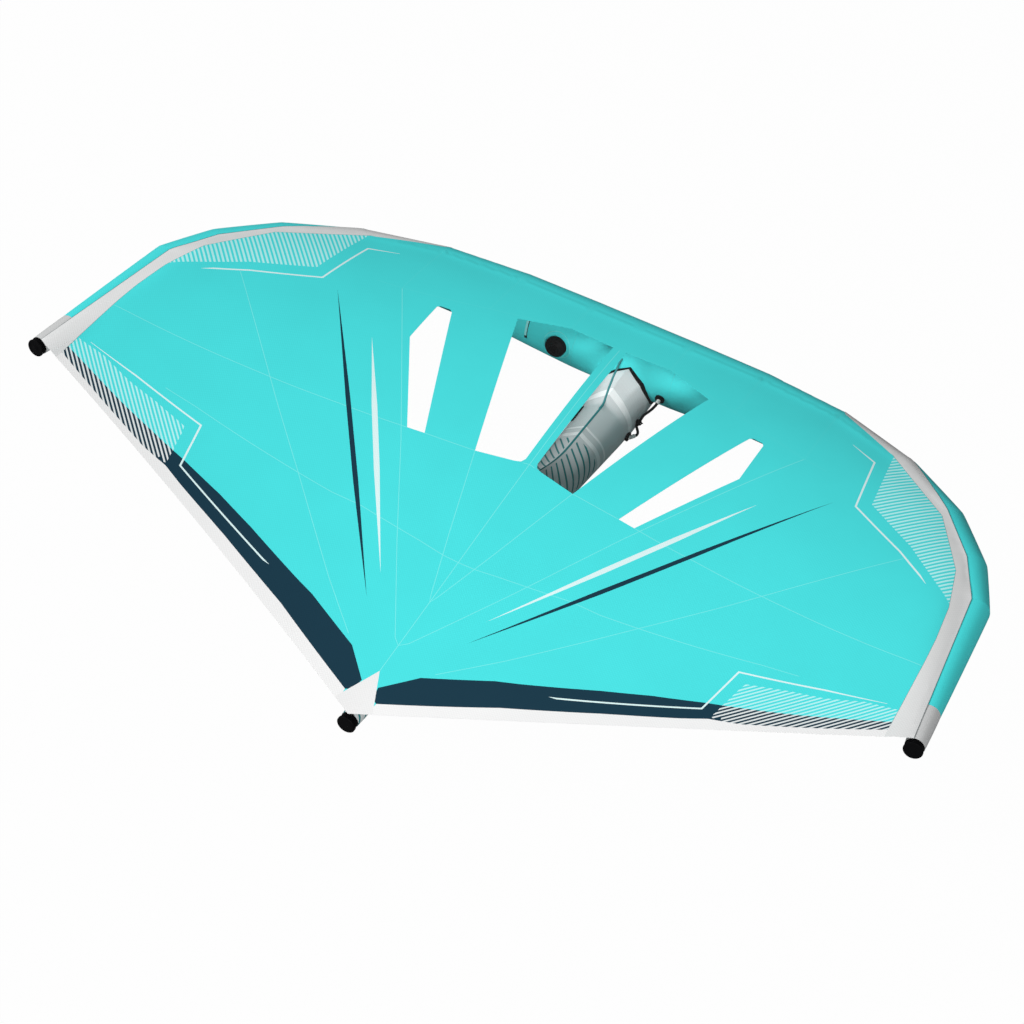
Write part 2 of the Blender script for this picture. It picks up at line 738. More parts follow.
trailingZigzag = [(1.421, 0.497), (1.238, 0.493), (0.971, 0.472), (0.932, 0.296), (0.523, 0.157),
                  (0.50, 0.153)]
cornerPatch = [(0.0, 0.0), (0.070, -0.160), (0.0, -0.20)]
seamRuns = {
    "centre": [(0.0, 0.0), (0.0, 1.60)],
    "seamA": [(0.155, 0.07), (0.316, 0.215), (0.632, 0.522), (0.826, 0.705), (1.237, 1.105)],
    "seamB": [(0.0, 0.11), (0.024, 0.131), (0.217, 0.463), (0.411, 0.81), (0.771, 1.421)],
    "seamC": [(0.0, 0.30), (0.012, 0.329), (0.084, 0.565), (0.182, 0.902)],
    "crossFront": [(0.0, 0.943), (0.022, 0.938)],
    "crossMiddle": [(0.182, 0.902), (0.3615, 0.879)],
    "crossOuter": [(0.4225, 0.869), (0.66, 0.829), (1.455, 0.676)],
    "crossRear": [(0.0, 0.477), (0.06, 0.479), (0.145, 0.49), (0.385, 0.512), (0.489, 0.506),
                  (1.03, 0.523), (1.142, 0.52)],
    "fairing": [(0.0, 1.606), (0.193, 1.612), (0.475, 1.526), (0.772, 1.424), (0.86, 1.40)],
    "mitreOne": [(0.193, 1.612), (0.193, 1.86)],
    "mitreTwo": [(0.475, 1.526), (0.4728, 1.763), (0.4735, 1.85)],
    "mitreThree": [(0.772, 1.424), (0.7738, 1.7219), (0.785, 1.80)],
}


def strip(line, width, taper=None):
    # Both edges of a line of this width; taper is the share of the width at each end
    left, right = [], []
    count = len(line)
    for index, point in enumerate(line):
        near = Vector(line[max(index - 1, 0)])
        far = Vector(line[min(index + 1, count - 1)])
        here = Vector(point)
        before = (here - near).normalized() if index > 0 else (far - here).normalized()
        after = (far - here).normalized() if index < count - 1 else before
        normal = Vector((-before.y - after.y, before.x + after.x)).normalized()
        reach = width / 2 / max(normal.dot(Vector((-before.y, before.x))), 0.4)
        if taper and index in (0, count - 1):
            reach *= taper[0 if index == 0 else 1]
        left.append(here + normal * reach)
        right.append(here - normal * reach)
    return left, right


def dense(line, spacing, closed=False):
    # The line with points at most this far apart
    points = [Vector(point) for point in line]
    if closed:
        points.append(points[0])
    result = []
    for near, far in zip(points, points[1:]):
        count = max(1, math.ceil((far - near).length / spacing))
        result += [near.lerp(far, step / count) for step in range(count)]
    if not closed:
        result.append(points[-1])
    return result


def inside(polygon, point):
    hit = False
    x, y = point
    for (xa, ya), (xb, yb) in zip(polygon, polygon[1:] + polygon[:1]):
        if (ya > y) != (yb > y) and x < (xb - xa) * (y - ya) / (yb - ya) + xa:
            hit = not hit
    return hit


def makeCanopy():
    front, rear = canopyOutline()
    outline = front + rear
    spacing = canopy["lineSpacing"]
    lines = []
    regions = []

    def region(name, polygon):
        polygon = [tuple(point) for point in polygon]
        regions.append((name, polygon))
        lines.append(dense(polygon, spacing, True))

    region("innerWindow", innerWindow)
    region("outerWindow", outerWindow)
    for zigzag, width in ((leadingZigzag, 0.0064), (trailingZigzag, 0.0062)):
        left, right = strip(zigzag, width, (0.25, 0.1))
        region("print", left + right[::-1])
    region("navy", darkSpear)
    region("print", whiteSpear)
    region("patch", cornerPatch)
    greyOuter = [(0.80, 1.90), (1.8, 1.7), (1.8, 0.2), (1.461, 0.30)]
    regions.append(("grey", greyInner + greyOuter))
    lines.append(dense(greyInner, spacing))
    # A dark row of stitches runs along both borders of the pale edge band
    for run, share in ((greyInner[:-2], 0.5), (front[3:], 1.3)):
        left, right = strip(run, canopy["stitchWidth"] * share)
        regions.insert(0, ("stitch", [tuple(point) for point in left + right[::-1]]))
        lines.append(dense(left, spacing))
        lines.append(dense(right, spacing))
    region("leadingHatch", leadingHatchArea)
    navyArea = navyInner + navyOuter[::-1]
    regions.append(("hatch", trailingHatchArea))
    lines.append(dense(trailingHatchArea[:12], spacing))
    regions.append(("navy", navyArea))
    lines.append(dense(navyInner, spacing))
    lines.append(dense(navyOuter, spacing))
    regions.append(("white", [navyOuter[0], (0.07, -0.30), (1.461, 0.20)] + navyOuter[:0:-1]))
    for name, run in seamRuns.items():
        left, right = strip(run, canopy["seamWidth"])
        if name == "centre":
            left = [Vector((0, point.y)) for point in left]
        polygon = [(max(x, 0.0), y) for x, y in left + right[::-1]]
        regions.append(("faintSeam" if name in canopy["faintSeams"] else "seam", polygon))
        lines.append(dense(polygon, spacing, True))
    lines.append(dense(outline, canopy["edgeSpacing"], True))
    points, edges = [], []
    for line in lines:
        first = len(points)
        points += [Vector((max(point.x, 0.0), point.y)) for point in line]
        edges += [(index, index + 1) for index in range(first, len(points) - 1)]
        if (line[0] - line[-1]).length < canopy["closing"] and len(line) > 3:
            edges.append((len(points) - 1, first))
    # A hexagonal grid fills the cloth between the lines
    lineCells = set()
    cell = canopy["lineCell"]
    for point in points:
        i, j = int(point.x / cell), int(point.y / cell)
        lineCells.update((i + a, j + b) for a in (-1, 0, 1) for b in (-1, 0, 1))
    outlinePlain = [tuple(point) for point in outline]
    for grid, onTube in ((canopy["grid"], False), (canopy["tubeGrid"], True)):
        row = 0
        y = -0.2
        while y < 1.9:
            x = grid / 2 if row % 2 else 0.0
            while x < 1.6:
                free = (int(x / cell), int(y / cell)) not in lineCells
                if free and onTube == nearTube(x, y) and inside(outlinePlain, (x, y)):
                    points.append(Vector((x, y)))
                x += grid
            y += grid * 0.866
            row += 1
    flat, flatEdges, flatFaces, *rest = geometry.delaunay_2d_cdt(points, edges, [], 0, 1e-6)

    kinds = {"cyan": 0, "navy": 1, "grey": 2, "white": 3, "patch": 4, "seam": 5, "print": 6,
             "leadingHatch": 7, "trailingHatch": 8, "navyHatch": 9, "faintSeam": 10, "stitch": 11}
    finishes = [cyanCloth, navyCloth, greyCloth, whiteCloth, patchCloth, seamCloth, whitePrint,
                leadingHatch, trailingHatch, navyHatch, faintSeam, stitchCloth]
    boxes = [(name, polygon, min(p[0] for p in polygon), max(p[0] for p in polygon),
              min(p[1] for p in polygon), max(p[1] for p in polygon)) for name, polygon in regions]
    cut = {"sheet": [], "innerWindow": [], "outerWindow": []}
    for face in flatFaces:
        centre = sum((flat[index] for index in face), Vector((0, 0))) / 3
        corners = [flat[index] for index in face]
        area = abs((corners[1] - corners[0]).cross(corners[2] - corners[0])) / 2
        if area < 1e-9 or not inside(outlinePlain, centre):
            continue
        found = "cyan"
        for name, polygon, x0, x1, y0, y1 in boxes:
            if x0 <= centre.x <= x1 and y0 <= centre.y <= y1 and inside(polygon, centre):
                found = name
                break
        if found == "hatch":
            found = "navyHatch" if inside(navyArea, centre) else "trailingHatch"
        if found in cut:
            cut[found].append((face, 0))
        else:
            cut["sheet"].append((face, kinds[found]))
    heights = [canopyHeight(point.x, point.y) for point in flat]
    print("canopy is cut,", len(flat), "points on a half")

    canopySkin = liftHalves("canopySkin", flat, heights, cut["sheet"], finishes)
    area = meshArea(canopySkin)
    thicken(canopySkin, canopy["wall"])
    finishEdges(canopySkin, 45)
    nodes = ["canopy_centre_strip", "canopy_rear_centre", "corner_patch"]
    for name in ("canopy_inner_front", "canopy_inner_rear", "canopy_middle_front",
                 "canopy_middle_rear", "canopy_tip", "edge_band", "trailing_panel", "trailing_band"):
        nodes += [f"{name}_left", f"{name}_right"]
    dress(canopySkin, "wing", "cyan_cloth", *nodes)
    area / 3.12 / 0.66
    for kind in ("innerWindow", "outerWindow"):
        for side, word in sides.items():
            film = liftHalves(f"{kind}{word.title()}", flat, heights, cut[kind], [windowFilm], side)
            area = meshArea(film)
            thicken(film, canopy["filmWall"])
            finishEdges(film, 45)
            dress(film, "wing", "clear_film", f"window_{kind[:5]}_{word}")
            long = 0.70 if kind == "innerWindow" else 0.60
            area / long / 0.8


def liftHalves(name, flat, heights, faces, finishes, only=0):
    # Lifts the flat cut onto the wing's surface, on one side or on both
    points, polygons, slots = [], [], []
    for side in (1, -1):
        if only and side != only:
            continue
        used = {}
        for face, slot in faces:
            corners = []
            for index in face:
                if index not in used:
                    used[index] = len(points)
                    points.append((side * flat[index].x, flat[index].y, heights[index]))
                corners.append(used[index])
            a, b = flat[face[1]] - flat[face[0]], flat[face[2]] - flat[face[0]]
            if (a.x * b.y - a.y * b.x > 0) != (side > 0):
                corners.reverse()
            polygons.append(corners)
            slots.append(slot)
    piece = meshPiece(name, points, polygons, finishes, slots)
    work = bmesh.new()
    work.from_mesh(piece.data)
    bmesh.ops.remove_doubles(work, verts=work.verts, dist=0.00002)
    work.to_mesh(piece.data)
    work.free()
    piece.data.shade_smooth()
    return piece


def meshArea(piece):
    return sum(face.area for face in piece.data.polygons)


makeCanopy()
print("canopy is on")

# Centre strut
strut = {
    "end": -0.168, "taperStart": 1.53381, "frontDrop": 0.048, "rearLift": 0.040,
    "frontRadius": 0.0955, "rearRadius": 0.030, "ridgeRise": 0.018, "lift": 1.26936,
    "contact": 0.7193, "points": 44, "spacing": 0.022, "wall": 0.0006, "play": 0.0007,
    "collarReach": 0.0120, "collarWall": 0.0012, "collarSwell": 0.0016, "onTube": 0.00035,
    "tentReach": 0.105, "tentPower": 1.4, "tentEnd": 1.72, "heelRadius": 0.0985, "heelHeight": -0.048,
}
neckRows = ((1.53381, -0.0480, 0.0955), (1.5867, -0.0478, 0.0974), (1.6255, -0.0497, 0.0993),
            (1.6713, -0.0478, 0.1000), (1.7189, -0.0440, 0.1000), (1.7542, -0.0250, 0.0930),
            (1.7841, 0.0150, 0.0660))
ridgeRows = ((1.53381, 0.0640), (1.600, 0.112), (1.638, 0.165), (1.70, 0.198), (1.7542, 0.110),
             (1.7841, 0.090))
# Where the strut's cloth meets the leading edge, right and left of its crest
tentRight = ((0.034, 0.1700), (0.0970, 0.130), (0.113, 0.095), (0.122, 0.055), (0.118, 0.0),
             (0.1010, -0.048))
tentLeft = ((0.033, 0.1695), (-0.013, 0.144), (-0.037, 0.122), (-0.078, 0.060), (-0.0985, -0.048))
# The piping's line seen from above: on the strut first, then on the leading edge
pipingLine = ((0.0, 1.500), (0.0, 1.520), (-0.0014, 1.5345), (-0.0040, 1.555), (-0.0070, 1.577),
              (-0.0095, 1.600), (-0.0108, 1.620), (-0.0112, 1.632), (-0.0110, 1.6395), (-0.0098, 1.6430),
              (-0.0082, 1.6470), (-0.0058, 1.6530))


def strutAxis(y):
    share = (strut["taperStart"] - y) / (strut["taperStart"] - strut["end"])
    height = -strut["frontDrop"] + (strut["rearLift"] + strut["frontDrop"]) * share
    return height, strut["frontRadius"] + (strut["rearRadius"] - strut["frontRadius"]) * share


def strutUnderside(y):
    height, radius = strutAxis(y)
    return height - radius


def resample(line, count):
    points = [Vector(point) for point in line]
    marks = [0.0]
    for near, far in zip(points, points[1:]):
        marks.append(marks[-1] + (far - near).length)
    result = []
    index = 0
    for step in range(count + 1):
        place = marks[-1] * step / count
        while index < len(points) - 2 and marks[index + 1] < place:
            index += 1
        width = max(marks[index + 1] - marks[index], 1e-9)
        result.append(points[index].lerp(points[index + 1], (place - marks[index]) / width))
    return result, marks[-1]


def halfSection(y, side):
    # One half of the strut's outline at y, from the ridge round to the underside
    if y <= strut["taperStart"]:
        height, radius = strutAxis(y)
        under = canopyHeight(0.0, y) - 0.0016
        low = height + radius + strut["ridgeRise"]
        peak = low + (under - low) * ease((strut["lift"] - y) / (strut["lift"] - strut["contact"]))
    else:
        height = readOff([(a, b) for a, b, c in neckRows], y)
        radius = readOff([(a, c) for a, b, c in neckRows], y)
        peak = readOff(ridgeRows, y)
    rise = max(peak - height, radius * 1.01)
    tangent = math.acos(radius / rise)
    line = [(0.0, height + rise)]
    for step in range(61):
        angle = tangent + (math.pi - tangent) * step / 60
        line.append((radius * math.sin(angle), height + radius * math.cos(angle)))
    rounded, length = resample(line, strut["points"])
    rounded = [Vector((side * x, z)) for x, z in rounded]
    share = min(max((y - strut["taperStart"]) / strut["tentReach"], 0.0), 1.0) ** strut["tentPower"]
    if share == 0 or y > strut["tentEnd"]:
        return rounded, length
    line = list(tentRight if side > 0 else tentLeft)
    for step in range(1, 31):
        angle = math.pi / 2 + math.pi / 2 * step / 30
        line.append((side * strut["heelRadius"] * math.sin(angle),
                     strut["heelHeight"] + strut["heelRadius"] * math.cos(angle)))
    tent, tentLength = resample(line, strut["points"])
    return ([near.lerp(far, share) for near, far in zip(rounded, tent)],
            length + (tentLength - length) * share)


def strutBody(name, finish, swell=0.0):
    # The strut as a closed body that runs on inside the leading edge
    ys = [strut["end"]]
    while ys[-1] < 1.76:
        step = strut["spacing"] if ys[-1] < 1.48 else 0.007
        ys.append(ys[-1] + step)
    points, uvs, faces = [], [], []
    count = strut["points"]
    row = 2 * count + 1
    for y in ys:
        halves = {side: halfSection(y, side) for side in sides}
        for index in range(-count, count + 1):
            half, length = halves[-1 if index < 0 else 1]
            x, z = half[abs(index)]
            out = Vector((x, 0, z - half[count].y - 0.08)).normalized() * swell
            points.append(Vector((x, y, z)) + out)
            uvs.append((length * index / count, y))
    for ring in range(len(ys) - 1):
        for index in range(row - 1):
            corner = ring * row + index
            faces.append((corner, corner + row, corner + row + 1, corner + 1))
    last = (len(ys) - 1) * row
    faces.append(tuple(range(row - 1)))
    faces.append(tuple(reversed(range(last, last + row - 1))))
    piece = meshPiece(name, points, faces, [finish], uvs=uvs)
    faceOut(piece, 0.00001)
    return piece


def tubeTool(radius, half=0.19):
    deselectAll()
    bpy.ops.mesh.primitive_cylinder_add(vertices=128, radius=radius, depth=half * 2)
    tool = bpy.context.object
    settle(tool, (0, tubeY, tubeZ), Vector((1, 0, 0)).to_track_quat("Z", "Y"))
    return tool


def liesOnTube(face, radius):
    # Whether all corners of a face are this far from the leading edge's axis
    for vert in face.verts:
        place = vert.co - drawingZero
        if abs(math.hypot(place.y - tubeY, place.z - tubeZ) - radius) >= strut["onTube"]:
            return False
    return True


def strutMaterial():
    look = {"grey": (0.68, 0.72, 0.725), "white": (0.95, 0.97, 0.97), "teal": (0.030, 0.235, 0.245),
            "bands": ((1.558, 1.575), (1.383, 1.393), (1.337, 1.357)), "soft": 0.0015,
            "stripesEnd": 1.325, "period": 0.038, "share": 0.27, "piping": 0.0048}
    surface, tree, shader = newMaterial("strutCloth", look["grey"], 0.5, {"Specular IOR Level": 0.3})
    u, v = coordinates(tree, "cloth")[1][:2]
    white = v.between(*look["bands"][0], look["soft"])
    for band in look["bands"][1:]:
        white = white.maths("MAXIMUM", v.between(*band, look["soft"]))
    right = (v + u * 0.57).stripes(look["period"], look["share"], 0.002)
    right = right * u.between(0.013, 0.145, 0.002)
    left = (v + u * 1.25).stripes(look["period"], look["share"], 0.002)
    left = left * u.between(-0.092, -0.013, 0.002)
    lines = right.maths("MAXIMUM", left) * (1 - v.above(look["stripesEnd"], 0.002))
    piping = (1 - u.maths("ABSOLUTE").above(look["piping"], 0.001)) * (1 - v.above(1.530, 0.001))
    tint = mixColour(tree, white, (*look["grey"], 1), (*look["white"], 1))
    tint = mixColour(tree, lines.maths("MAXIMUM", piping), tint, (*look["teal"], 1))
    tree.links.new(tint.socket, shader.inputs["Base Color"])
    grid = clothLook["grid"]
    threads = u.stripes(grid, 0.2, 0.0016).maths("MAXIMUM", v.stripes(grid, 0.2, 0.0016))
    addBump(tree, shader, threads * 0.3 + white + piping * 3, 0.0004)
    return surface


def makeStrut():
    skin = strutBody("strutSkin", strutMaterial())
    bite = centreRadius + strut["play"]
    tool = tubeTool(bite)
    cutWith(skin, tool)
    dropFaces(skin, lambda face: liesOnTube(face, bite)
              or abs(face.normal.y) > 0.99 and len(face.verts) > 8)
    thicken(skin, strut["wall"])
    finishEdges(skin, 50)
    # The teal piping leaves the strut and runs up the leading edge's skin
    line = []
    for x, y in pipingLine:
        hit, place, normal, face = skin.ray_cast(Vector((x, y, 1)) + drawingZero, (0, 0, -1))
        height = (place - drawingZero).z + 0.0012 if hit else 0.0
        reach = centreRadius + 0.0022
        if y > 1.637:
            height = max(height, tubeZ + math.sqrt(reach ** 2 - (tubeY - y) ** 2))
        line.append(Vector((x, y, height)))
    piping = curvePiece("strutPiping", smoothThrough(line, 4), 0.0042, tealPiping)
    dress(piping, "wing", "strut_cloth")
    dress(skin, "wing", "strut_cloth", "strut_casing")

    # The black taped join is the strut's own form between two radii round the leading edge
    outer = strutBody("strutCollar", blackWebbing, strut["collarSwell"])
    border = centreRadius + strut["collarReach"]
    ring = tubeTool(border)
    cutWith(outer, ring, "INTERSECT")
    cutWith(outer, tool)
    dropFaces(outer, lambda face: liesOnTube(face, bite) or liesOnTube(face, border))
    thicken(outer, strut["collarWall"])
    finishEdges(outer, 50)
    dress(outer, "wing", "black_webbing", "strut_collar")
    dropTool(tool)
    dropTool(ring)


makeStrut()
print("strut is on")


# Bladders inside the tubes
def bladderPiece(name, rings, node):
    points, faces = [], []
    count = len(rings[0])
    for ring in rings:
        points += ring
    for near in range(len(rings) - 1):
        for index in range(count):
            a, b = near * count + index, near * count + (index + 1) % count
            faces.append((a, b, b + count, a + count))
    faces.append(tuple(range(count)))
    faces.append(tuple(reversed(range((len(rings) - 1) * count, len(rings) * count))))
    piece = meshPiece(name, points, faces, [bladderFilm])
    faceOut(piece)
    finishEdges(piece, 50)
    dress(piece, "wing", "bladder_film", node)


def mitreRing(centre, radius, along, plane, count=40, shift=0.0):
    top = (tubeTop - along * along.z).normalized()
    across = along.cross(top)
    ring = []
    for index in range(count):
        angle = math.tau * index / count
        arm = across * (math.sin(angle) * radius) + top * (math.cos(angle) * radius)
        ring.append(centre + arm + along * ((shift - arm.dot(plane)) / along.dot(plane)))
    return ring


def makeBladders():
    rings = []
    for side in sides:
        path, planes = tubePath(side)
        half = []
        for index in range(1, len(path)):
            along = (path[index] - path[index - 1]).normalized() * side
            shift = -0.018 if index == len(path) - 1 else 0.0
            ring = mitreRing(path[index], tubeRadius(index - 1) - 0.0035, along, planes[index] * side,
                             shift=shift * side)
            half.append(ring)
        rings = half[::-1] + rings if side < 0 else rings + half
    bladderPiece("tubeBladder", rings, "leading_edge_bladder")
    rings = []
    for y in (strut["end"] + 0.017, 0.4, 1.0, 1.5, 1.585):
        height, radius = strutAxis(y)
        ring = []
        for index in range(40):
            angle = math.tau * index / 40
            ring.append(Vector((math.sin(angle) * (radius - 0.006), y,
                                height + math.cos(angle) * (radius - 0.006))))
        rings.append(ring)
    bladderPiece("strutBladder", rings, "strut_bladder")


makeBladders()


# Main valve
valve = {"x": -0.252, "tilt": 4.0, "capRadius": 0.0240, "capHeight": 0.011, "ribs": 24,
         "neckTop": 0.026, "gap": 0.0003, "hinge": 0.029,
         "patch": ((0.0508, 0.0005), (0.0514, 0.0016), (0.0524, 0.0016), (0.0530, 0.0005))}
valveOut = Vector((0, -math.cos(math.radians(valve["tilt"])), math.sin(math.radians(valve["tilt"]))))


def tubeSurface(x, out, lift=0.0):
    # Where a straight line out of the tube's axis meets the skin, left or right of the centre
    near, far = tubeStations[0], tubeStations[1]
    share = max((abs(x) - near[0]) / (far[0] - near[0]), 0.0)
    radius = near[3] + (far[3] - near[3]) * share
    return Vector((x, near[1] + (far[1] - near[1]) * share, near[2] + (far[2] - near[2]) * share)) \
        + Vector(out) * (radius + lift)


def makeValve():
    skin = tubeSurface(valve["x"], valveOut)
    body = turnOut("valveBody", (
        (0.0360, -0.010), (0.0385, -0.008), (0.0385, 0.0075), (0.0372, 0.0096), (0.0352, 0.0104),
        (0.0280, 0.0150), (0.0240, 0.0196), (0.0226, 0.0206), (0.0215, 0.0212), (0.0215, 0.0254),
        (0.0209, 0.0260), (0.0156, 0.0260), (0.0150, 0.0254), (0.0150, 0.0040)),
        blackPlastic, skin, valveOut, 64)
    dress(body, "wing", "black_plastic", "main_valve_body")

    plunger = turnOut("valvePlunger", (
        (0.0130, 0.0120), (0.0146, 0.0126), (0.0146, 0.0150), (0.0140, 0.0155), (0.0080, 0.0155),
        (0.0072, 0.0148), (0.0036, 0.0148), (0.0030, 0.0153), (0.0030, 0.0170), (0.0024, 0.0175)),
        whitePlastic, skin, valveOut, 48)
    dress(plunger, "valve_plunger", "white_plastic", "main_valve_plunger")

    # The cap: a disc with pressed-in ribs, a raised rim on top, and its hinge ear
    top = valve["neckTop"] + valve["gap"]
    deselectAll()
    bpy.ops.mesh.primitive_cylinder_add(vertices=valve["ribs"] * 3, radius=valve["capRadius"],
                                        depth=valve["capHeight"],
                                        location=(0, 0, top + valve["capHeight"] / 2))
    cap = bpy.context.object
    cap.name = "valveCap"
    bpy.ops.object.mode_set(mode="EDIT")
    bpy.ops.mesh.select_mode(type="FACE")
    bpy.ops.mesh.select_all(action="DESELECT")
    work = bmesh.from_edit_mesh(cap.data)
    for face in work.faces:
        angle = math.atan2(face.normal.y, face.normal.x) / math.tau * valve["ribs"]
        face.select = abs(face.normal.z) < 0.5 and abs(angle - round(angle)) < 0.2
    bmesh.update_edit_mesh(cap.data)
    bpy.ops.mesh.inset(thickness=0.0004, use_individual=True)
    bpy.ops.mesh.extrude_faces_move(TRANSFORM_OT_shrink_fatten={"value": 0.0011})
    work = bmesh.from_edit_mesh(cap.data)
    for face in work.faces:
        face.select = face.normal.z > 0.9 and face.calc_area() > 0.0005
    bmesh.update_edit_mesh(cap.data)
    bpy.ops.mesh.inset(thickness=0.0030)
    bpy.ops.transform.translate(value=(0, 0, 0.0012))
    bpy.ops.mesh.inset(thickness=0.0035)
    bpy.ops.transform.translate(value=(0, 0, -0.0014))
    bpy.ops.object.mode_set(mode="OBJECT")
    cap.data.materials.append(blackPlastic)
    settle(cap, skin, valveOut.to_track_quat("Z", "Y"))
    roundOff(cap, 0.0006, 2, 35)
    lift = valveOut.cross(Vector((1, 0, 0)))
    hinge = skin + valveOut * (top + 0.0015) + lift * valve["hinge"]
    frameTurn = Matrix((Vector((1, 0, 0)), lift, valveOut)).transposed().to_quaternion()
    deselectAll()
    bpy.ops.mesh.primitive_cube_add(size=1, scale=(0.010, 0.0105, 0.0030))
    ear = bpy.context.object
    bpy.ops.object.transform_apply(scale=True)
    ear.data.materials.append(blackPlastic)
    settle(ear, hinge - lift * 0.00475, frameTurn)
    roundOff(ear, 0.0008, 2)
    pin = turnOut("capPin", ((0.0019, -0.0056), (0.0021, -0.0052), (0.0021, 0.0052), (0.0019, 0.0056)),
                  blackPlastic, hinge, (1, 0, 0), 20)
    joinTo(cap, ear, pin)
    dress(cap, "valve_cap", "black_plastic", "main_valve_cap")

    # The welded patch round the valve shows as a thin raised ring on the cloth
    points, faces = [], []
    for index in range(72):
        angle = math.tau * index / 72
        for reach, rise in valve["patch"]:
            x = valve["x"] + math.cos(angle) * reach
            up = math.asin(math.sin(angle) * reach / centreRadius) + math.radians(valve["tilt"])
            points.append(tubeSurface(x, (0, -math.cos(up), math.sin(up)), rise))
    for index in range(72):
        for step in range(3):
            a, b = index * 4 + step, (index + 1) % 72 * 4 + step
            faces.append((a, a + 1, b + 1, b))
    patch = meshPiece("valvePatchEdge", points, faces, [seamCloth])
    dress(patch, "wing", "cyan_cloth")


makeValve()
print("valve is on")


# Inflation link: ports, hose and clip
hoseShape = {"radius": 0.0050, "steps": 8, "leadIn": (-0.008, 0.0, 0.0035, 0.007)}
linkPlace = {"tubeX": 0.164, "tubeDegrees": 14.0, "tubeNozzle": 0.005, "tubeHose": 0.027,
             "strutY": 1.556729, "strutDegrees": 94.0, "elbow": 0.0125, "strutHose": 0.022,
             "way": (0.5, 0.866025, 0)}
clipShape = {"ring": 0.0115, "wire": 0.0028, "squeeze": 0.85, "ringDrop": 0.0020,
             "jaw": (0.0135, 0.0085, 0.013), "hingeDrop": 0.0093, "hingeBack": 0.014,
             "lever": (0.013, 0.0028, 0.028), "leverMiddle": 0.0145, "bend": 0.021, "tip": 0.025}
hoseMiddle = ((0.1610, 1.6035, 0.0805), (0.1545, 1.6008, 0.0680), (0.1430, 1.6000, 0.0490),
              (0.1300, 1.6000, 0.0280), (0.1236, 1.6000, 0.0095), (0.1217, 1.6000, 0.0033),
              (0.1123, 1.6000, -0.0263), (0.1104, 1.6000, -0.0325), (0.1140, 1.5990, -0.0415),
              (0.1195, 1.5955, -0.0490), (0.1235, 1.5890, -0.0535))


def lineLength(points):
    return sum((far - near).length for near, far in zip(points, points[1:]))


portFlange = ((0.0160, -0.005), (0.0175, -0.004), (0.0175, 0.0034), (0.0168, 0.0046),
              (0.0150, 0.0050), (0.0118, 0.0050), (0.0112, 0.0042), (0.0094, 0.0042), (0.0088, 0.0056))
barrel = ((0.0062, 0.0), (0.0070, 0.0008), (0.0070, 0.0070), (0.0075, 0.0076), (0.0075, 0.0092),
          (0.0068, 0.0100), (0.0068, 0.0140), (0.0074, 0.0146), (0.0068, 0.0176), (0.0074, 0.0180),
          (0.0064, 0.0214), (0.0060, 0.0220))


def makeLink():
    down = math.radians(linkPlace["tubeDegrees"])
    out = Vector((0, -math.cos(down), -math.sin(down)))
    skin = tubeSurface(linkPlace["tubeX"], out)
    port = turnOut("tubePort", portFlange, blackPlastic, skin, out, 48)
    nozzle = turnOut("tubeNozzle", barrel, whitePlastic, skin + out * linkPlace["tubeNozzle"], out, 32)
    start = [skin + out * (linkPlace["tubeHose"] + step) for step in hoseShape["leadIn"]]

    y = linkPlace["strutY"]
    height, radius = strutAxis(y)
    angle = math.radians(linkPlace["strutDegrees"])
    out = Vector((math.sin(angle), 0, math.cos(angle)))
    skin = Vector((0, y, height)) + out * radius
    way = Vector(linkPlace["way"])
    elbow = skin + out * linkPlace["elbow"]
    strutPort = turnOut("strutPort", portFlange, blackPlastic, skin, out, 48)
    post = turnOut("strutNozzlePost", ((0.0070, 0.003), (0.0074, 0.004), (0.0074, 0.016), (0.0066, 0.0185),
                                       (0.0040, 0.0198)), whitePlastic, skin, out, 32)
    arm = turnOut("strutNozzle", barrel, whitePlastic, elbow, way, 32)
    end = [elbow + way * (linkPlace["strutHose"] + step) for step in reversed(hoseShape["leadIn"])]
    dress(port, "wing", "black_plastic", "tube_port")
    dress(nozzle, "wing", "white_plastic")
    dress(strutPort, "wing", "black_plastic", "strut_port")
    dress(post, "wing", "white_plastic")
    dress(arm, "wing", "white_plastic")

    route = start + [Vector(point) for point in hoseMiddle] + end
    line = smoothThrough(route, hoseShape["steps"])
    hose = curvePiece("inflationHose", line, hoseShape["radius"], hoseRubber)
    dress(hose, "wing", "black_hose", "inflation_hose")
    clip, lever = makeClip(Vector(hoseMiddle[5]), Vector(hoseMiddle[6]))
    tuple(line[0] + drawingZero)
    lineLength(line)
    lineLength(line)


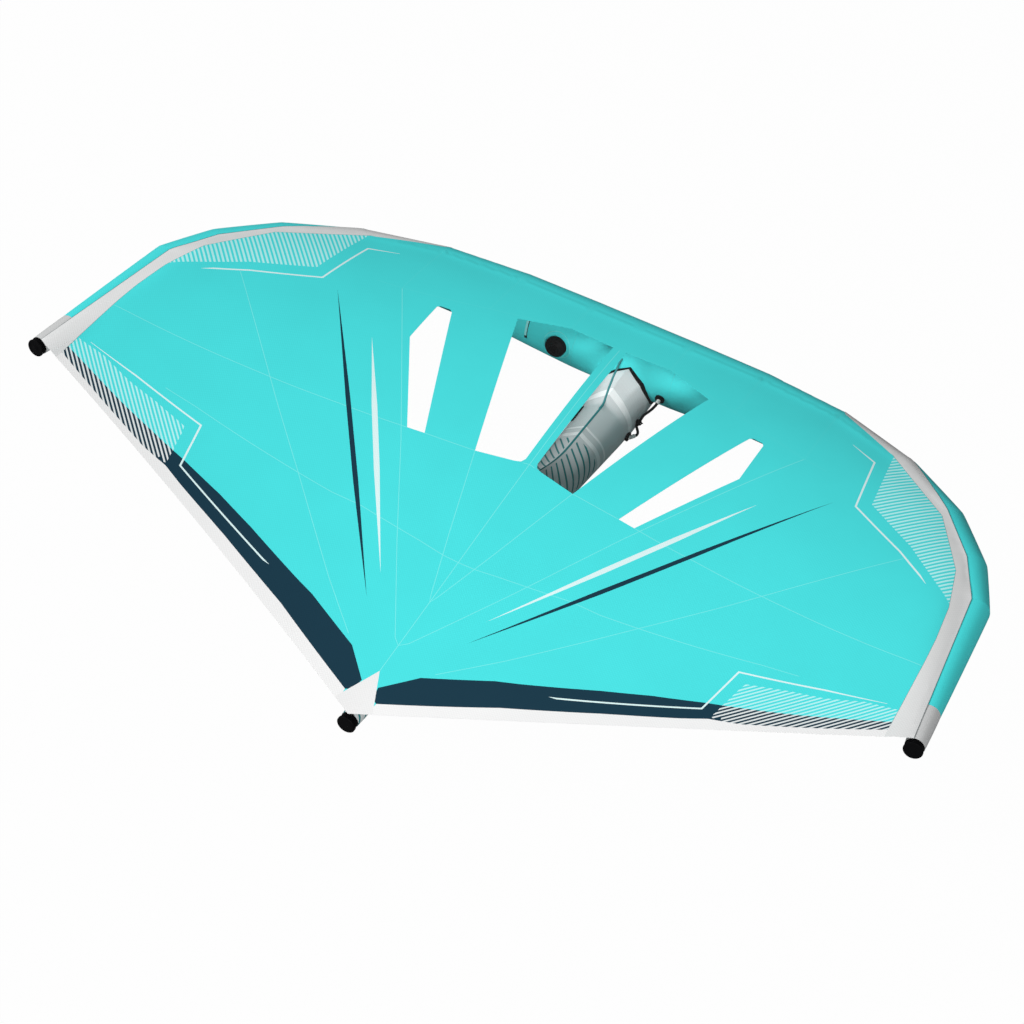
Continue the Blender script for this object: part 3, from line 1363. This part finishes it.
def makeClip(start, end):
    centre = (start + end) / 2
    along = (end - start).normalized()
    rear = Vector((0, -1, 0))
    side = rear.cross(along)
    turn = Matrix((side, rear, along)).transposed().to_quaternion()
    deselectAll()
    bpy.ops.mesh.primitive_torus_add(major_radius=clipShape["ring"], minor_radius=clipShape["wire"],
                                     major_segments=48, minor_segments=16,
                                     rotation=(math.radians(90), 0, 0))
    ring = bpy.context.object
    ring.name = "hoseClip"
    ring.scale = (clipShape["squeeze"], 1.0, 1.0)
    bpy.ops.object.transform_apply(location=True, rotation=True, scale=True)
    ring.data.materials.append(blackPlastic)
    settle(ring, centre + rear * clipShape["ringDrop"], turn)
    deselectAll()
    bpy.ops.mesh.primitive_cube_add(size=1, scale=clipShape["jaw"])
    jaw = bpy.context.object
    bpy.ops.object.transform_apply(scale=True)
    jaw.data.materials.append(blackPlastic)
    settle(jaw, centre, turn)
    roundOff(jaw, 0.0018, 3)
    joinTo(ring, jaw)
    dress(ring, "wing", "black_plastic", "hose_clip_body")

    hinge = centre + rear * clipShape["hingeDrop"] - along * clipShape["hingeBack"]
    deselectAll()
    bpy.ops.mesh.primitive_cube_add(size=1, scale=clipShape["lever"],
                                    location=(0, 0, clipShape["leverMiddle"]))
    lever = bpy.context.object
    lever.name = "hoseClipLever"
    bpy.ops.object.transform_apply(location=True, scale=True)
    bpy.ops.object.mode_set(mode="EDIT")
    bpy.ops.mesh.select_all(action="SELECT")
    bpy.ops.mesh.bisect(plane_co=(0, 0, clipShape["bend"]), plane_no=(0, 0, 1))
    bpy.ops.mesh.select_all(action="DESELECT")
    work = bmesh.from_edit_mesh(lever.data)
    for vert in work.verts:
        vert.select = vert.co.z > clipShape["tip"]
    work.select_flush(True)
    bmesh.update_edit_mesh(lever.data)
    bpy.ops.transform.resize(value=(0.62, 0.8, 1.0))
    bpy.ops.object.mode_set(mode="OBJECT")
    lever.data.materials.append(blackPlastic)
    settle(lever, hinge, turn)
    roundOff(lever, 0.0008, 3)
    pin = turnOut("leverPin", ((0.0018, -0.0075), (0.0020, -0.0071), (0.0020, 0.0071), (0.0018, 0.0075)),
                  blackPlastic, hinge, side, 20)
    joinTo(lever, pin)
    dress(lever, "clip_lever", "black_plastic", "hose_clip_lever")
    return ring, lever


makeLink()
print("inflation link is on")


# Strap behind the leading edge, and the tab on the strut's side
def ribbonSweep(name, rows, finish, wall, slots=None, finishes=None):
    # A ribbon through rows of points, all rows alike
    points = [point for row in rows for point in row]
    width = len(rows[0])
    faces, marks = [], []
    for near in range(len(rows) - 1):
        for index in range(width - 1):
            a = near * width + index
            faces.append((a, a + 1, a + width + 1, a + width))
            marks.append(slots(near, index) if slots else 0)
    ribbon = meshPiece(name, points, faces, finishes or [finish], marks)
    faceOut(ribbon)
    area = meshArea(ribbon)
    thicken(ribbon, wall, 0.0)
    finishEdges(ribbon, 50)
    return ribbon, area


strapShape = {"x": -0.378, "start": 27.0, "stop": -12.0, "steps": 26, "across": (-0.0055, 0.0030, 0.0055),
              "lift": 0.0016, "wall": 0.0014, "width": 0.011, "darkSteps": 5}
tabShape = {"middle": 1.488, "half": 0.045, "degrees": 309.0, "across": (-0.006, -0.002, 0.002, 0.006),
            "steps": 20, "sewnSteps": 3, "lift": 0.0035, "sewnLift": 0.0024, "wall": 0.0024,
            "width": 0.012}


def makeStrap():
    look = strapShape
    rows = []
    for step in range(look["steps"] + 1):
        angle = math.radians(look["start"] + (look["stop"] - look["start"]) * step / look["steps"])
        out = (0, -math.cos(angle), math.sin(angle))
        rows.append([tubeSurface(look["x"] + shift, out, look["lift"]) for shift in look["across"]])
    dark = look["steps"] - look["darkSteps"]
    strap, area = ribbonSweep("tubeStrap", rows, paleStrap, look["wall"],
                              lambda near, index: 1 if index == 1 or near > dark else 0,
                              [paleStrap, blackWebbing])
    dress(strap, "wing", "cyan_cloth", "tube_strap")


def makeTab():
    look = tabShape
    rows = []
    for step in range(look["steps"] + 1):
        y = look["middle"] - look["half"] + 2 * look["half"] * step / look["steps"]
        height, radius = strutAxis(y)
        loose = look["sewnSteps"] < step < look["steps"] - look["sewnSteps"]
        lift = radius + (look["lift"] if loose else look["sewnLift"])
        row = []
        for shift in look["across"]:
            angle = math.radians(look["degrees"]) + shift / radius
            row.append(Vector((math.sin(angle) * lift, y, height + math.cos(angle) * lift)))
        rows.append(row)
    tab, area = ribbonSweep("strutTab", rows, blackWebbing, look["wall"])
    dress(tab, "wing", "black_webbing", "strut_side_tab")


makeStrap()
makeTab()


# Handles
handleShape = {"length": 0.240, "drop": 0.070, "leadLength": 0.190, "leadDrop": 0.055,
               "grip": 0.0135, "tail": 0.030, "gripShare": 0.62, "steps": 64, "standOff": 0.0063,
               "across": (-0.006, -0.002, 0.002, 0.006), "webWidth": 0.012, "webWall": 0.0028,
               "frontShare": 0.690, "rearShare": 0.363, "leadDegrees": 45.0, "gripSides": 28}
underSlope = math.atan2(strutUnderside(strut["end"]) - strutUnderside(strut["taperStart"]),
                        strut["taperStart"] - strut["end"])


def loopLine(length, drop):
    points = [Vector((0, -length / 2 - handleShape["tail"], 0)), Vector((0, -length / 2 - 0.012, 0))]
    for step in range(handleShape["steps"] + 1):
        angle = math.pi * step / handleShape["steps"]
        across = math.cos(angle)
        y = -length / 2 * math.copysign(abs(across) ** 0.8, across)
        points.append(Vector((0, y, -drop * math.sin(angle) ** 0.7)))
    points += [Vector((0, length / 2 + 0.012, 0)), Vector((0, length / 2 + handleShape["tail"], 0))]
    return points


def makeHandle(name, node, body, length, drop, spot, turn):
    line = loopLine(length, drop)
    place = Matrix.Translation(spot) @ turn.to_4x4()
    # Webbing: a flat strap along the whole loop
    smooth = resample(line, 90)[0]
    rows = []
    for point in smooth:
        rows.append([place @ (point + Vector((shift, 0, 0)))
                     for shift in handleShape["across"]])
    web, area = ribbonSweep(f"{name}Webbing", rows, blackWebbing, handleShape["webWall"])
    # Grip: a padded sleeve round the middle of the loop
    inner = [point for point in smooth if abs(point.y) < length / 2 * handleShape["gripShare"] + 0.004
             and point.z < -0.3 * drop]
    rings = []
    count = handleShape["gripSides"]
    for index, point in enumerate(inner):
        near, far = inner[max(index - 1, 0)], inner[min(index + 1, len(inner) - 1)]
        along = (far - near).normalized()
        side = Vector((1, 0, 0))
        up = along.cross(side)
        share = index / (len(inner) - 1)
        radius = handleShape["grip"] * (1 - 0.22 * (2 * abs(share - 0.5)) ** 8)
        if index in (0, len(inner) - 1):
            radius *= 0.72
        ring = []
        for step in range(count):
            angle = math.tau * step / count
            ring.append(place @ (point + side * math.cos(angle) * radius
                                 + up * math.sin(angle) * radius))
        rings.append(ring)
    points = [point for ring in rings for point in ring]
    faces = [tuple(range(count)), tuple(reversed(range(len(points) - count, len(points))))]
    for near in range(len(rings) - 1):
        for step in range(count):
            a, b = near * count + step, near * count + (step + 1) % count
            faces.append((a, b, b + count, a + count))
    grip = meshPiece(f"{name}Grip", points, faces, [blackWebbing])
    faceOut(grip)
    finishEdges(grip, 50)
    for piece in (web, grip):
        dress(piece, body, "black_webbing", node)


def makeHandles():
    slope = Matrix.Rotation(-underSlope, 3, "X")
    drop = handleShape["standOff"] / math.cos(underSlope)
    for name in ("front", "rear"):
        y = tubeY * handleShape[f"{name}Share"]
        spot = Vector((0, y, strutUnderside(y) - drop))
        makeHandle(f"{name}Handle", f"{name}_handle", f"{name}_handle_loop", handleShape["length"],
                   handleShape["drop"], spot, slope)
    down = math.radians(handleShape["leadDegrees"])
    out = Vector((0, math.cos(down), -math.sin(down)))
    spot = Vector((0, tubeY, tubeZ)) + out * (centreRadius + handleShape["standOff"])
    makeHandle("leadingHandle", "leading_handle", "leading_handle_loop", handleShape["leadLength"],
               handleShape["leadDrop"], spot, Matrix.Rotation(math.radians(90), 3, "Z"))


makeHandles()
print("handles are on")


# Moulded end caps
def makeCaps():
    for side, word in sides.items():
        path, planes = tubePath(side)
        radius = tubeRadius(-1)
        cap = turnOut(f"tipCap{word.title()}", (
            (radius - 0.0030, -0.016), (radius - 0.0016, -0.015), (radius - 0.0014, 0.0002),
            (radius - 0.0001, 0.0003), (radius + 0.0000, 0.0010), (radius + 0.0000, 0.0030),
            (radius - 0.0008, 0.0042), (radius - 0.0022, 0.0047), (radius - 0.0060, 0.0047),
            (radius - 0.0072, 0.0042), (radius - 0.0200, 0.0040), (radius - 0.0210, 0.0046)),
            blackPlastic, path[-1], planes[-1], 64)
        dress(cap, "wing", "black_plastic", f"tip_end_cap_{word}")
    height, radius = strutAxis(strut["end"])
    cap = turnOut("strutCap", (
        (radius - 0.0030, -0.016), (radius - 0.0014, -0.015), (radius - 0.0012, 0.0001),
        (radius + 0.0010, 0.0004), (radius + 0.0012, 0.0012), (radius + 0.0012, 0.0080),
        (radius - 0.0005, 0.0100), (radius - 0.0036, 0.0118), (radius - 0.0048, 0.0120),
        (radius - 0.0110, 0.0119)), blackPlastic, (0, strut["end"], height), (0, -1, 0), 64)
    dress(cap, "wing", "black_plastic", "strut_end_cap")


makeCaps()
print("caps are on")


# Studio
studio = {
    "floor": (0.30, 0.30, 0.30), "floorGlow": 0.985, "skyStrength": 0.20, "target": (0, 0, 0.3),
    "keyPlace": (-9.2, -5.6, 8.8), "keySize": 7.0, "keyPower": 1420,
    "rearPlace": (4.2, -7.4, 5.0), "rearSize": 3.0, "rearPower": 500,
    "sensor": 36.0, "lens": 80.86, "camera": (2.1412, -5.0138, 5.57149),
    "right": (0.8745, 0.4752, 0.0967), "up": (-0.3944, 0.5809, 0.7121),
    "back": (0.2822, -0.6609, 0.6954),
}


def makeStudio():
    deselectAll()
    bpy.ops.mesh.primitive_plane_add(size=40, location=(0, 0, 0))
    floor = bpy.context.object
    floor.name = "floor"
    surface, tree, shader = newMaterial("studioFloor", studio["floor"], 0.9)
    output = tree.nodes["Material Output"]
    path = addNode(tree, "ShaderNodeLightPath")
    glow = addNode(tree, "ShaderNodeEmission", None, {"Color": (1, 1, 1, 1), "Strength": 1.0})
    share = Field(tree, path.outputs["Is Camera Ray"]) * studio["floorGlow"]
    mix = addNode(tree, "ShaderNodeMixShader", None, {"Fac": share})
    tree.links.new(shader.outputs[0], mix.inputs[1])
    tree.links.new(glow.outputs[0], mix.inputs[2])
    tree.links.new(mix.outputs[0], output.inputs["Surface"])
    floor.data.materials.append(surface)

    world = bpy.data.worlds.new("studio")
    bpy.context.scene.world = world
    world.use_nodes = True
    tree = world.node_tree
    soft = tree.nodes["Background"]
    soft.inputs["Color"].default_value = (1, 1, 1, 1)
    soft.inputs["Strength"].default_value = studio["skyStrength"]
    white = addNode(tree, "ShaderNodeBackground", None, {"Color": (1, 1, 1, 1), "Strength": 1.0})
    path = addNode(tree, "ShaderNodeLightPath")
    cameraRay = Field(tree, path.outputs["Is Camera Ray"])
    mix = addNode(tree, "ShaderNodeMixShader", None, {"Fac": cameraRay})
    tree.links.new(soft.outputs[0], mix.inputs[1])
    tree.links.new(white.outputs[0], mix.inputs[2])
    tree.links.new(mix.outputs[0], tree.nodes["World Output"].inputs["Surface"])

    for name in ("key", "rear"):
        addLight(f"{name}Light", studio[f"{name}Place"], studio["target"], studio[f"{name}Size"],
                 studio[f"{name}Power"])

    scene = bpy.context.scene
    camera = bpy.data.cameras.new("camera")
    camera.sensor_width = studio["sensor"]
    camera.lens = studio["lens"]
    view = bpy.data.objects.new("camera", camera)
    axes = Matrix((studio["right"], studio["up"], studio["back"])).transposed()
    view.matrix_world = Matrix.LocRotScale(Vector(studio["camera"]), axes.to_quaternion(), None)
    scene.collection.objects.link(view)
    scene.camera = view
    scene.view_settings.view_transform = "Standard"


def addLight(name, place, target, size, energy):
    light = bpy.data.lights.new(name, "AREA")
    light.shape = "DISK"
    light.size = size
    light.energy = energy
    lamp = bpy.data.objects.new(name, light)
    lamp.location = place
    lamp.rotation_euler = (Vector(target) - Vector(place)).to_track_quat("-Z", "Y").to_euler()
    bpy.context.scene.collection.objects.link(lamp)


makeStudio()
